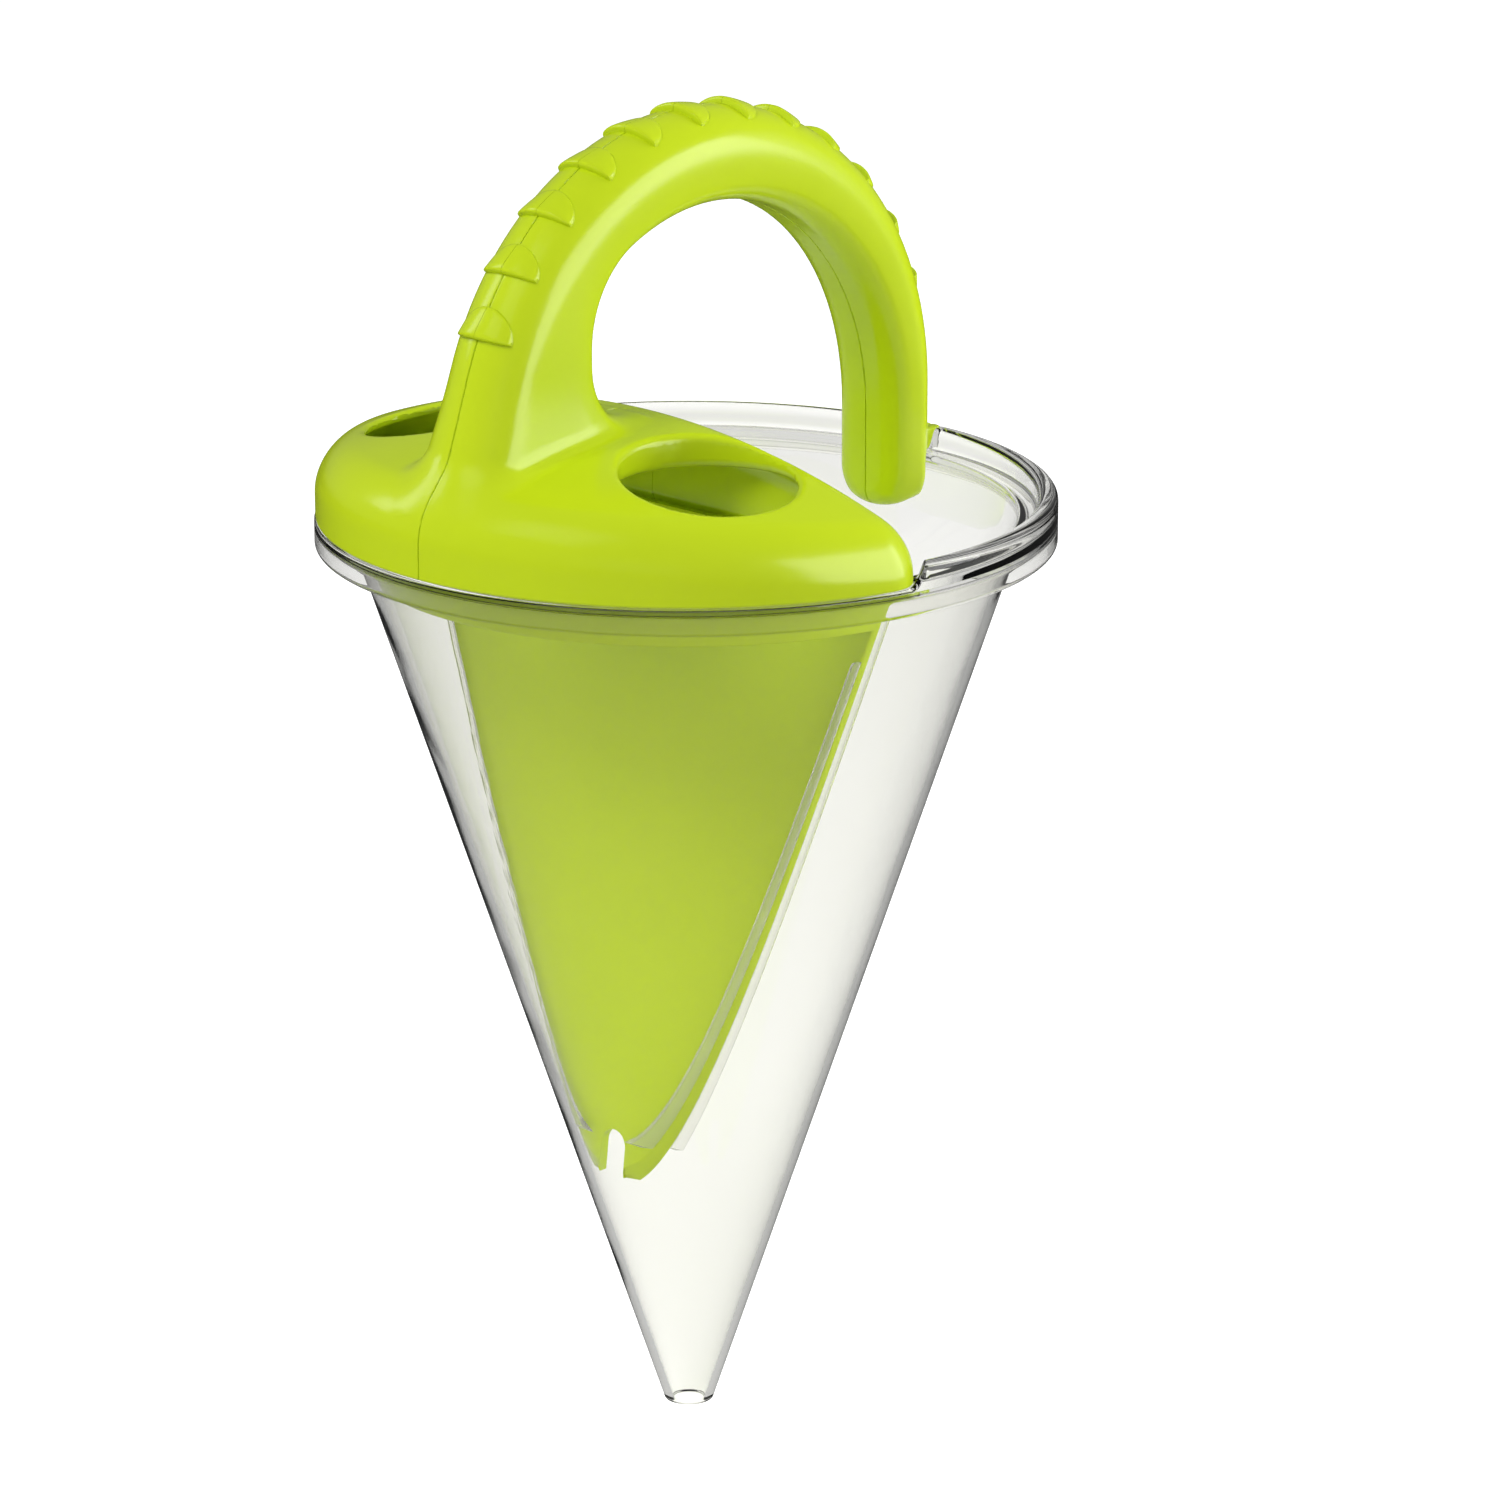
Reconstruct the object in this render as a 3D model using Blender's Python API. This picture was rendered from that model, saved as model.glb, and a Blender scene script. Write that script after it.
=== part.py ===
"""Sand funnel: a clear cone that holds wet sand, with a green insert that lifts out of its mouth.

Metres, +Z up. The origin is the centre of the outlet's lower end. The handle stands in the XZ plane:
the lid covers the -X part of the mouth, and the handle's free end hangs inside the rim at +X.
The insert is a lid and arched handle, moulded as two half shells that meet on the XZ plane, with a
partition under it that closes off a water tank in front of the sand.
"""
import math

import bmesh
import bpy
import numpy as np
from mathutils import Matrix, Vector

# Cone and outlet
CONE_HEIGHT = 0.231        # outlet end to the rim's lower edge
OUTLET_RADIUS = 0.0062     # outside of the outlet's end
CONE_WALL = 0.0022

# Rim
RIM_RADIUS = 0.0925
RIM_OVERHANG = 0.0097      # rim's edge to the outside of the cone, at the rim's lower edge
RIM_HEIGHT = 0.007         # lower edge to the ledge on top
RIM_WALL = 0.0024
LIP_HEIGHT = 0.0055        # raised lip above the ledge, round the open part of the mouth
LIP_WIDTH = 0.005
LIP_END_GAP = 0.0011       # from the lid's straight side and corners to the lip's ends
SEAT_RECESS = 0.0005       # the lid's seat is sunk this far into the ledge
NOTCH_CLEARANCE = 0.0005   # each side of the handle's hook, in the lip

# Guide ribs inside the cone, one pair for each edge of the partition
RIB_DEPTH = 0.003
RIB_WIDTH = 0.0024
BACK_RIB_DROP = 0.003      # rim's lower edge to the top of the rib on the sand side
FRONT_RIB_DROP = 0.014     # the same on the water side
RIB_END_RISE = 0.011       # the ribs stop this far above the partition's lowest point

# Lid
LID_INSET = 0.0003         # lid's edge inside the rim's
LID_WALL = 0.0025
LID_CORNER = 0.012         # rounded ends of the straight side, seen from above
TIGHT_CORNER = 0.0006      # the same on the lid's inner rings
LID_SHOULDER = 0.010       # rounded top edge
CHORD_X = -0.0095          # outside of the straight side
LID_SKIRT = 0.0015         # straight part of the lid's edge at its corners, under the rounded shoulder
DOME_RADIUS = 0.235
DOME_SETBACK = 0.0125      # dome's highest point behind the straight side
TOP_REACH = 0.9            # innermost ring of the dome's net, as a share of the lid's half depth
FLOOR_WALL = 0.0022        # ring on the lid's underside, which rests on the rim
HOLE_RADIUS = 0.0215
HOLE_SIDE_MARGIN = 0.007   # hole to the straight side
HOLE_EDGE_MARGIN = 0.0126  # hole to the round edge
HOLE_COLLAR_WALL = 0.0025
HOLE_COLLAR_DEPTH = 0.0055 # below the dome at the hole's centre

# Handle
ARCH_HEIGHT = 0.0205       # centre of the arch above the rim's ledge
LEG_THICKNESS = 0.0164     # free leg, from the hand's side to the outside
CROWN_EXTRA = 0.0066       # added to that thickness at the crown
HANDLE_WIDTH = 0.0256
HANDLE_ROUNDING = 0.006
HANDLE_WALL = 0.0025
FOOT_SLANT = math.radians(19.5)
FOOT_INSET = 0.0013        # handle's foot inside the lid's edge
WEB_REACH = 0.0499         # handle's foot to the edge of the web towards the hand
WEB_ARCH_RADIUS = 0.025    # from the web into the arch
WEB_FOOT_RADIUS = 0.016    # from the web on to the lid
WEB_FOOT_SINK = 0.001
TONGUE_DEPTH = 0.015       # handle's free end below the rim's ledge
TONGUE_THICKNESS = 0.0105
TONGUE_CLEARANCE = 0.0013  # tongue's end to the inside of the cone
TONGUE_FILLET = 0.006      # hollow curve from the tongue to the leg's shoulder
TONGUE_EDGE = 0.0065       # rounded lower edge, seen from the side
SHOULDER_RISE = 0.005      # leg's shoulder above the rim's ledge
HOOK_WIDTH = 0.0064        # rib behind the tongue that sits in the lip's notch
HOOK_INSET = 0.0005        # hook's end inside the rim's edge

# Grip pads on the outside of the arch
PAD_COUNT = 12
PAD_FIRST_ANGLE = math.radians(154)
PAD_PITCH = math.radians(12.1)
PAD_HALF_WIDTH = 0.0088
PAD_LENGTH = 0.0085
PAD_HEIGHT = 0.0018
PAD_ROOT = 0.001           # depth of the pad's root in the handle
PAD_MIDDLE = 0.6           # height half way along the pad, as a share of its height
PAD_SIDE = 0.14            # length and height at the pad's sides, as a share of the middle's

# Partition
PANEL_THICKNESS = 0.0022
PANEL_LEAN = math.radians(4.2)
PANEL_EDGE_GAP = 0.0005    # partition to the cone
PANEL_RIB_GAP = 0.0004     # partition to each guide rib
COLLAR_WALL = 0.002
COLLAR_SETBACK = 0.001     # collar inside the mouth's edge
COLLAR_DROP = 0.006        # collar's lower edge below the rim's lower edge
COLLAR_RISE = 0.003        # collar's upper edge above the lid's floor ring
SLOT_WIDTH = 0.007
SLOT_HEIGHT = 0.016        # above the partition's lowest point

# Clearances between pieces
SEAT_GAP = 0.0003          # lid to its seat
FIT_GAP = 0.0003           # partition to lid
SEAM_GAP = 0.0003          # between the two half shells

# Smoothness
TURN_SEGMENTS = 72
ARC_POINTS = 36
CORNER_POINTS = 5
CHORD_POINTS = 12
ROUND_STEPS = 4
SHARP_ANGLE = math.radians(30)
OVERCUT = 0.005            # how far a cutter runs past the face it opens

# Heights and places that follow from the sizes above
LEDGE = CONE_HEIGHT + RIM_HEIGHT
LID_SEAT = LEDGE - SEAT_RECESS
LID_BASE = LID_SEAT + SEAT_GAP
LID_RADIUS = RIM_RADIUS - LID_INSET
MOUTH_RADIUS = RIM_RADIUS - RIM_OVERHANG
LIP_TOP = LEDGE + LIP_HEIGHT
DOME_X = CHORD_X - DOME_SETBACK
ARCH_Z = LEDGE + ARCH_HEIGHT
ARCH_INNER_Z = ARCH_Z - CROWN_EXTRA
SHOULDER = LEDGE + SHOULDER_RISE
FREE_END = LEDGE - TONGUE_DEPTH
CONE_SLOPE = (MOUTH_RADIUS - OUTLET_RADIUS) / CONE_HEIGHT
CONE_WALL_ACROSS = CONE_WALL * math.hypot(1, CONE_SLOPE)
HOLE_X = CHORD_X - HOLE_SIDE_MARGIN - HOLE_RADIUS
HOLE_Y = math.sqrt((LID_RADIUS - HOLE_EDGE_MARGIN - HOLE_RADIUS) ** 2 - HOLE_X ** 2)


def outer_radius(height):
    """Outside of the cone at a height."""
    return OUTLET_RADIUS + CONE_SLOPE * height


def inner_radius(height):
    """Inside of the cone at a height."""
    return outer_radius(height) - CONE_WALL_ACROSS


def dome_drop(x, y):
    """How far the dome lies below its highest point."""
    return ((x - DOME_X) ** 2 + y ** 2) / (2 * DOME_RADIUS)


LID_END = math.sqrt(LID_RADIUS ** 2 - CHORD_X ** 2)
DOME_APEX = LID_BASE + LID_SKIRT + LID_SHOULDER + dome_drop(CHORD_X, LID_END)
COLLAR_RADIUS = inner_radius(LEDGE) - COLLAR_SETBACK
COLLAR_TOP = LID_BASE + FLOOR_WALL + COLLAR_RISE
PANEL_TOP_X = CHORD_X - LID_WALL - FIT_GAP - PANEL_THICKNESS / 2 / math.cos(PANEL_LEAN)
PANEL_FRAME = Matrix.Translation((PANEL_TOP_X, 0, COLLAR_TOP)) @ Matrix.Rotation(PANEL_LEAN, 4, "Y")


def panel_low_point():
    """Height at which the partition's middle plane meets the inside of the cone."""
    slope = math.tan(PANEL_LEAN)
    reach = inner_radius(0) - PANEL_EDGE_GAP
    return (slope * COLLAR_TOP - PANEL_TOP_X - reach) / (CONE_SLOPE + slope)


PANEL_LOW = panel_low_point()
FOOT_X = -LID_RADIUS + FOOT_INSET
FOOT_LOW = LID_BASE + FLOOR_WALL
WEB_X = FOOT_X + WEB_REACH
TONGUE_X = inner_radius(FREE_END) - TONGUE_CLEARANCE
LEG_INNER_X = TONGUE_X - TONGUE_THICKNESS
LEG_OUTER_X = LEG_INNER_X + LEG_THICKNESS


def arch_radius():
    """Radius of the arch that meets the free leg's upright outside and the slanted line up from the foot."""
    across = math.cos(FOOT_SLANT) * (LEG_OUTER_X - FOOT_X) + math.sin(FOOT_SLANT) * (FOOT_LOW - ARCH_Z)
    return across / (1 + math.cos(FOOT_SLANT))


ARCH_RADIUS = arch_radius()
ARCH_X = LEG_OUTER_X - ARCH_RADIUS
ARCH_INNER_RADIUS = ARCH_RADIUS - LEG_THICKNESS
HANDLE_TOP = ARCH_Z + ARCH_RADIUS + PAD_HEIGHT


def srgb(hex_colour):
    """Linear red, green and blue of an sRGB hex colour."""
    parts = [int(hex_colour[i:i + 2], 16) / 255 for i in (1, 3, 5)]
    return [part / 12.92 if part <= 0.04045 else ((part + 0.055) / 1.055) ** 2.4 for part in parts]


def plastic(name, hex_colour, roughness, alpha=1.0):
    """Principled material of a moulded plastic."""
    material = bpy.data.materials.new(name)
    material.use_nodes = True
    shader = material.node_tree.nodes["Principled BSDF"]
    shader.inputs["Base Color"].default_value = (*srgb(hex_colour), 1)
    shader.inputs["Roughness"].default_value = roughness
    shader.inputs["Metallic"].default_value = 0
    shader.inputs["Alpha"].default_value = alpha
    return material


def circle(radius, height):
    """Ring of points about Z."""
    turns = np.linspace(0, 2 * math.pi, TURN_SEGMENTS, endpoint=False)
    return np.column_stack((radius * np.cos(turns), radius * np.sin(turns), np.full(TURN_SEGMENTS, height)))


def arc(centre, radius, start, end, count):
    """Points along an arc in a plane, both ends included."""
    angles = np.linspace(start, end, count)
    return np.column_stack((centre[0] + radius * np.cos(angles), centre[1] + radius * np.sin(angles)))


def lofted(name, rings, closed=False, place=Matrix()):
    """Body skinned over rings of equal count, capped at both ends or joined from the last to the first."""
    count = len(rings[0])
    points = [place @ Vector(point) for ring in rings for point in ring]
    spans = list(zip(range(len(rings) - 1), range(1, len(rings))))
    if closed:
        spans.append((len(rings) - 1, 0))
    faces = []
    for low, high in spans:
        for i in range(count):
            j = (i + 1) % count
            faces.append((low * count + i, low * count + j, high * count + j, high * count + i))
    if not closed:
        faces.append(tuple(range(count)))
        faces.append(tuple(range(len(points) - count, len(points))))
    mesh = bpy.data.meshes.new(name)
    mesh.from_pydata(points, [], faces)
    shape = bmesh.new()
    shape.from_mesh(mesh)
    bmesh.ops.triangulate(shape, faces=[face for face in shape.faces if len(face.verts) > 4])
    bmesh.ops.recalc_face_normals(shape, faces=shape.faces)
    shape.to_mesh(mesh)
    shape.free()
    body = bpy.data.objects.new(name, mesh)
    bpy.context.scene.collection.objects.link(body)
    return body


def prism(name, outline, low, high, axis):
    """Outline in the two other axes, extruded from low to high along one axis."""
    rings = [np.insert(outline, axis, value, axis=1) for value in (low, high)]
    return lofted(name, rings)


def block(name, low, high, place=Matrix()):
    """Box between two corners, in the frame of place."""
    corners = [(low[0], low[1]), (high[0], low[1]), (high[0], high[1]), (low[0], high[1])]
    rings = [[(x, y, height) for x, y in corners] for height in (low[2], high[2])]
    return lofted(name, rings, place=place)


def as_tool(body):
    """Mark a body that only cuts or adds to another one."""
    body.hide_render = True
    body.display_type = "WIRE"
    return body


def combine(body, operation, tool):
    """Boolean of a tool body on a body, kept as a modifier."""
    modifier = body.modifiers.new(tool.name, "BOOLEAN")
    modifier.operation = operation
    modifier.object = as_tool(tool)
    modifier.solver = "EXACT"


def finish(body, material):
    """Give a piece its material, with smooth round faces."""
    body.data.materials.append(material)
    body.data.shade_smooth()
    body.data.set_sharp_from_angle(angle=SHARP_ANGLE)
    return body


def rib(name, top, side):
    """Guide rib: a slab beside the partition, cut to a band along the inside of the cone."""
    bottom = PANEL_LOW + RIB_END_RISE
    band = []
    for height, buried in ((bottom, True), (top, True), (top, False), (bottom, False)):
        offset = CONE_WALL_ACROSS / 2 if buried else -RIB_DEPTH
        band.append(circle(inner_radius(height) + offset, height))
    body = lofted(name, band, closed=True)
    near = PANEL_THICKNESS / 2 + PANEL_RIB_GAP
    low_x, high_x = sorted((side * near, side * (near + RIB_WIDTH)))
    slab = block(name + "_slab", (low_x, -RIM_RADIUS, -LEDGE), (high_x, RIM_RADIUS, LEDGE), PANEL_FRAME)
    combine(body, "INTERSECT", slab)
    return body


def funnel_body(material):
    """Clear cone with its outlet, hanging rim, raised lip and guide ribs."""
    plate = LEDGE - RIM_WALL
    skirt = RIM_RADIUS - RIM_WALL
    lip_middle = RIM_RADIUS - LIP_WIDTH / 2
    crown = arc((lip_middle, LIP_TOP - LIP_WIDTH / 2), LIP_WIDTH / 2, 0, math.pi, ROUND_STEPS + 1)
    profile = [(OUTLET_RADIUS, 0), (outer_radius(plate), plate), (skirt, plate), (skirt, CONE_HEIGHT),
               (RIM_RADIUS, CONE_HEIGHT), *crown, (RIM_RADIUS - LIP_WIDTH, LEDGE),
               (inner_radius(LEDGE), LEDGE), (inner_radius(0), 0)]
    body = lofted("funnel_body", [circle(radius, height) for radius, height in profile], closed=True)
    reach = RIM_RADIUS + OVERCUT
    lid_place = d_outline(RIM_RADIUS + LIP_END_GAP, CHORD_X + LIP_END_GAP, LID_CORNER + LIP_END_GAP)
    lid_sector = prism("lid_sector", lid_place, LID_SEAT, LIP_TOP + OVERCUT, 2)
    half_notch = HOOK_WIDTH / 2 + NOTCH_CLEARANCE
    notch_start = inner_radius(LEDGE) - OVERCUT
    notch = block("hook_notch", (notch_start, -half_notch, LID_SEAT), (reach, half_notch, LIP_TOP + OVERCUT))
    combine(body, "DIFFERENCE", lid_sector)
    combine(body, "DIFFERENCE", notch)
    combine(body, "UNION", rib("front_rib", CONE_HEIGHT - FRONT_RIB_DROP, -1))
    combine(body, "UNION", rib("back_rib", CONE_HEIGHT - BACK_RIB_DROP, 1))
    return finish(body, material)


def d_outline(radius, chord, corner):
    """Outline of a round lid cut by a straight side at x = chord, with rounded corners, seen from above."""
    centre_x = chord - corner
    centre_y = math.sqrt((radius - corner) ** 2 - centre_x ** 2)
    turn = math.atan2(centre_y, centre_x)
    back = arc((0, 0), radius, turn, 2 * math.pi - turn, ARC_POINTS)
    low_corner = arc((centre_x, -centre_y), corner, -turn, 0, CORNER_POINTS)
    high_corner = arc((centre_x, centre_y), corner, 0, turn, CORNER_POINTS)
    side = np.column_stack((np.full(CHORD_POINTS, chord), np.linspace(-centre_y, centre_y, CHORD_POINTS)))
    return np.vstack((back, low_corner[1:], side[1:-1], high_corner[:-1]))


def lid_solid(name, inset, base):
    """Domed lid, solid down to base, drawn in by inset from the lid's outside."""
    shoulder = LID_SHOULDER - inset
    turns = np.linspace(0, math.pi / 2, ROUND_STEPS + 1)
    steps = [(shoulder * (1 - math.cos(turn)), shoulder * (1 - math.sin(turn))) for turn in turns]
    flat_reach = TOP_REACH * (LID_RADIUS + CHORD_X) / 2 - inset
    steps += [(draw, 0) for draw in np.linspace(shoulder, flat_reach, ROUND_STEPS + 1)[1:]]
    rings = []
    for draw, drop in steps:
        corner = max(LID_CORNER - inset - draw, TIGHT_CORNER)
        outline = d_outline(LID_RADIUS - inset - draw, CHORD_X - inset - draw, corner)
        height = DOME_APEX - inset - drop - dome_drop(outline[:, 0], outline[:, 1])
        rings.append(np.column_stack((outline, height)))
    ground = rings[0].copy()
    ground[:, 2] = base
    return lofted(name, [ground, *rings])


def handle_outline(end_height):
    """Side view of the handle in the XZ plane, from its foot in the lid over the arch to its free end."""
    inner_centre = (ARCH_X, ARCH_INNER_Z)
    foot_angle = math.pi - FOOT_SLANT
    arch = arc((ARCH_X, ARCH_Z), ARCH_RADIUS, foot_angle, 0, ARC_POINTS)
    foot = (FOOT_X, FOOT_LOW)
    end_z = end_height + TONGUE_EDGE
    outer_end = arc((LEG_OUTER_X - TONGUE_EDGE, end_z), TONGUE_EDGE, 0, -math.pi / 2, CORNER_POINTS)
    inner_end = arc((LEG_INNER_X + TONGUE_EDGE, end_z), TONGUE_EDGE, -math.pi / 2, -math.pi, CORNER_POINTS)
    bend_x = WEB_X + WEB_ARCH_RADIUS
    bend_rise = math.sqrt((ARCH_INNER_RADIUS - WEB_ARCH_RADIUS) ** 2 - (bend_x - ARCH_X) ** 2)
    bend_angle = math.atan2(bend_rise, bend_x - ARCH_X)
    inner_arch = arc(inner_centre, ARCH_INNER_RADIUS, 0, bend_angle, ARC_POINTS * 2 // 3)
    bend = arc((bend_x, ARCH_INNER_Z + bend_rise), WEB_ARCH_RADIUS, bend_angle, math.pi, CORNER_POINTS)
    web_foot_x = WEB_X + WEB_FOOT_RADIUS
    lid_top = DOME_APEX - dome_drop(web_foot_x, 0)
    web_foot_z = lid_top + WEB_FOOT_RADIUS - WEB_FOOT_SINK
    web_foot = arc((web_foot_x, web_foot_z), WEB_FOOT_RADIUS, math.pi, 1.5 * math.pi, CORNER_POINTS)
    web_low = (web_foot_x, FOOT_LOW)
    return np.vstack((foot, arch, outer_end, inner_end, inner_arch, bend[1:], web_foot, web_low))


def drawn_in(outline, distance):
    """Closed clockwise outline moved inwards by a distance, corner by corner."""
    before = outline - np.roll(outline, 1, axis=0)
    after = np.roll(outline, -1, axis=0) - outline
    before = before / np.linalg.norm(before, axis=1)[:, None]
    after = after / np.linalg.norm(after, axis=1)[:, None]
    normal = np.column_stack((before[:, 1] + after[:, 1], -before[:, 0] - after[:, 0]))
    share = 1 + (before * after).sum(axis=1)
    return outline + distance * normal / share[:, None]


def handle_solid(name, inset, end_height):
    """Handle with a rounded section, drawn in by inset from its outside."""
    outline = handle_outline(end_height)
    rounding = HANDLE_ROUNDING - inset
    flat = HANDLE_WIDTH / 2 - HANDLE_ROUNDING
    turns = np.linspace(0, math.pi / 2, ROUND_STEPS)
    near_side = [(-flat - rounding * math.cos(turn), rounding * (1 - math.sin(turn))) for turn in turns]
    far_side = [(-y, draw) for y, draw in reversed(near_side)]
    rings = []
    for y, draw in near_side + far_side:
        ring = drawn_in(outline, inset + draw)
        rings.append(np.column_stack((ring[:, 0], np.full(len(ring), y), ring[:, 1])))
    return lofted(name, rings)


def grip_pads():
    """Row of shingle pads over the arch: each is steep towards the foot and fades out the other way."""
    flat = HANDLE_WIDTH / 2 - HANDLE_ROUNDING
    stations = np.linspace(-PAD_HALF_WIDTH, PAD_HALF_WIDTH, 2 * ROUND_STEPS + 1)
    bodies = []
    for number in range(PAD_COUNT):
        start = PAD_FIRST_ANGLE - number * PAD_PITCH
        rings = []
        for y in stations:
            swell = math.sqrt(max(1 - (y / PAD_HALF_WIDTH) ** 2, PAD_SIDE ** 2))
            bend = max(abs(y) - flat, 0)
            skin = ARCH_RADIUS - HANDLE_ROUNDING + math.sqrt(HANDLE_ROUNDING ** 2 - bend ** 2)
            end = start - PAD_LENGTH * swell / ARCH_RADIUS
            section = ((start, skin - PAD_ROOT), (start, skin + PAD_HEIGHT * swell),
                       ((start + end) / 2, skin + PAD_HEIGHT * swell * PAD_MIDDLE), (end, skin - PAD_ROOT))
            rings.append([(ARCH_X + reach * math.cos(angle), y, ARCH_Z + reach * math.sin(angle))
                          for angle, reach in section])
        bodies.append(as_tool(lofted(f"pad_{number + 1:02d}", rings)))
    return bodies


def shaped_handle():
    """Handle cut to a round-ended tongue below its shoulder, with a hook that sits in the lip's notch."""
    handle = handle_solid("handle_outside", 0, FREE_END)
    reach = RIM_RADIUS + OVERCUT
    low = FREE_END - OVERCUT
    hollow_curve = arc((TONGUE_X + TONGUE_FILLET, SHOULDER - TONGUE_FILLET), TONGUE_FILLET,
                       math.pi / 2, math.pi, 2 * CORNER_POINTS)
    shoulder_cut = np.vstack(((reach, SHOULDER), hollow_curve, (TONGUE_X, low), (reach, low)))
    combine(handle, "DIFFERENCE", prism("shoulder_cut", shoulder_cut, -HANDLE_WIDTH, HANDLE_WIDTH, 1))
    round_end = HANDLE_WIDTH / 2
    end_centre = FREE_END + round_end
    end_curve = arc((0, end_centre), round_end, math.pi, 2 * math.pi, 4 * CORNER_POINTS)
    end_cut = np.vstack(((-HANDLE_WIDTH, end_centre), end_curve, (HANDLE_WIDTH, end_centre),
                         (HANDLE_WIDTH, low), (-HANDLE_WIDTH, low)))
    combine(handle, "DIFFERENCE", prism("end_cut", end_cut, LEG_INNER_X - OVERCUT, reach, 0))
    hook_low = (TONGUE_X - TONGUE_THICKNESS / 2, -HOOK_WIDTH / 2, LID_BASE)
    hook_high = (RIM_RADIUS - HOOK_INSET, HOOK_WIDTH / 2, LIP_TOP)
    combine(handle, "UNION", block("hook", hook_low, hook_high))
    return handle


def handle_tools():
    """Bodies that make up the lid and handle, each with how it joins or cuts the lid."""
    handle = shaped_handle()
    hollow = handle_solid("handle_hollow", HANDLE_WALL, SHOULDER)
    combine(hollow, "DIFFERENCE", lid_solid("lid_outside", 0, LID_BASE))
    cavity = lid_solid("lid_cavity", LID_WALL, LID_BASE + FLOOR_WALL)
    opening = d_outline(COLLAR_RADIUS + FIT_GAP, CHORD_X - LID_WALL, TIGHT_CORNER)
    lid_mouth = prism("lid_mouth", opening, LID_BASE - OVERCUT, COLLAR_TOP + FIT_GAP, 2)
    tools = [(handle, "UNION")]
    tools += [(pad, "UNION") for pad in grip_pads()]
    tools += [(cavity, "DIFFERENCE"), (hollow, "DIFFERENCE"), (lid_mouth, "DIFFERENCE")]
    dome = DOME_APEX - dome_drop(HOLE_X, HOLE_Y)
    collar_reach = HOLE_RADIUS + HOLE_COLLAR_WALL
    for side, word in ((1, "left"), (-1, "right")):
        shift = Matrix.Translation((HOLE_X, side * HOLE_Y, 0))
        heights = (dome - HOLE_COLLAR_DEPTH, DOME_APEX)
        rings = [circle(collar_reach, height) for height in heights]
        tube = lofted(f"{word}_hole_collar", rings, place=shift)
        combine(tube, "INTERSECT", lid_solid(f"{word}_lid_core", LID_WALL / 2, LID_BASE))
        heights = (dome - HOLE_COLLAR_DEPTH - OVERCUT, DOME_APEX + OVERCUT)
        hole = lofted(f"{word}_hole", [circle(HOLE_RADIUS, height) for height in heights], place=shift)
        tools += [(tube, "UNION"), (hole, "DIFFERENCE")]
    return tools


def handle_shell(name, side, tools, material):
    """One half of the lid and handle, on one side of the seam."""
    body = lid_solid(name, 0, LID_BASE)
    for tool, operation in tools:
        combine(body, operation, tool)
    reach = RIM_RADIUS + OVERCUT
    low_y, high_y = sorted((side * SEAM_GAP / 2, side * reach))
    half = block(name + "_half", (-reach, low_y, 0), (reach, high_y, HANDLE_TOP + OVERCUT))
    combine(body, "INTERSECT", half)
    return finish(body, material)


def tank_partition(material):
    """Leaning panel that fits the inside of the cone, with a collar round the tank's mouth and a slot."""
    bottom = PANEL_LOW - OVERCUT
    knee = (COLLAR_RADIUS + PANEL_EDGE_GAP - inner_radius(0)) / CONE_SLOPE
    outside = [(inner_radius(bottom) - PANEL_EDGE_GAP, bottom), (COLLAR_RADIUS, knee),
               (COLLAR_RADIUS, COLLAR_TOP)]
    body = lofted("tank_partition", [circle(radius, height) for radius, height in outside])
    reach = 2 * RIM_RADIUS
    face = PANEL_THICKNESS / 2
    sand_side = block("sand_side", (face, -reach, -2 * LEDGE), (reach, reach, LEDGE), PANEL_FRAME)
    water_side = block("water_side", (-reach, -reach, -2 * LEDGE), (-face, reach, LEDGE), PANEL_FRAME)
    collar_low = CONE_HEIGHT - COLLAR_DROP
    low_radius = inner_radius(collar_low) - PANEL_EDGE_GAP
    collar = [(low_radius - COLLAR_WALL, collar_low), (COLLAR_RADIUS - COLLAR_WALL, knee),
              (COLLAR_RADIUS - COLLAR_WALL, COLLAR_TOP + OVERCUT),
              (COLLAR_RADIUS + OVERCUT, COLLAR_TOP + OVERCUT), (COLLAR_RADIUS + OVERCUT, collar_low)]
    keep = lofted("collar_band", [circle(radius, height) for radius, height in collar], closed=True)
    combine(water_side, "DIFFERENCE", keep)
    combine(body, "DIFFERENCE", sand_side)
    combine(body, "DIFFERENCE", water_side)
    half_slot = SLOT_WIDTH / 2
    crown = arc((0, PANEL_LOW + SLOT_HEIGHT - half_slot), half_slot, 0, math.pi, 2 * ROUND_STEPS + 1)
    slot = np.vstack((crown, (-half_slot, bottom - OVERCUT), (half_slot, bottom - OVERCUT)))
    combine(body, "DIFFERENCE", prism("drip_slot", slot, -RIM_RADIUS, 0, 0))
    return finish(body, material)


def main():
    for old in list(bpy.data.objects):
        bpy.data.objects.remove(old, do_unlink=True)
    clear = plastic("clear_plastic", "#E9EBE3", 0.08, 0.3)
    green = plastic("lime_green_plastic", "#B7CF1A", 0.28)
    funnel_body(clear)
    tools = handle_tools()
    handle_shell("handle_shell_left", 1, tools, green)
    handle_shell("handle_shell_right", -1, tools, green)
    tank_partition(green)


main()
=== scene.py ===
"""Sand funnel: a clear cone with a hanging rim, and a lime green insert of lid, arched handle and
partition."""
import math

import bmesh
import bpy
import numpy as np
from mathutils import Matrix, Vector


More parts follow.
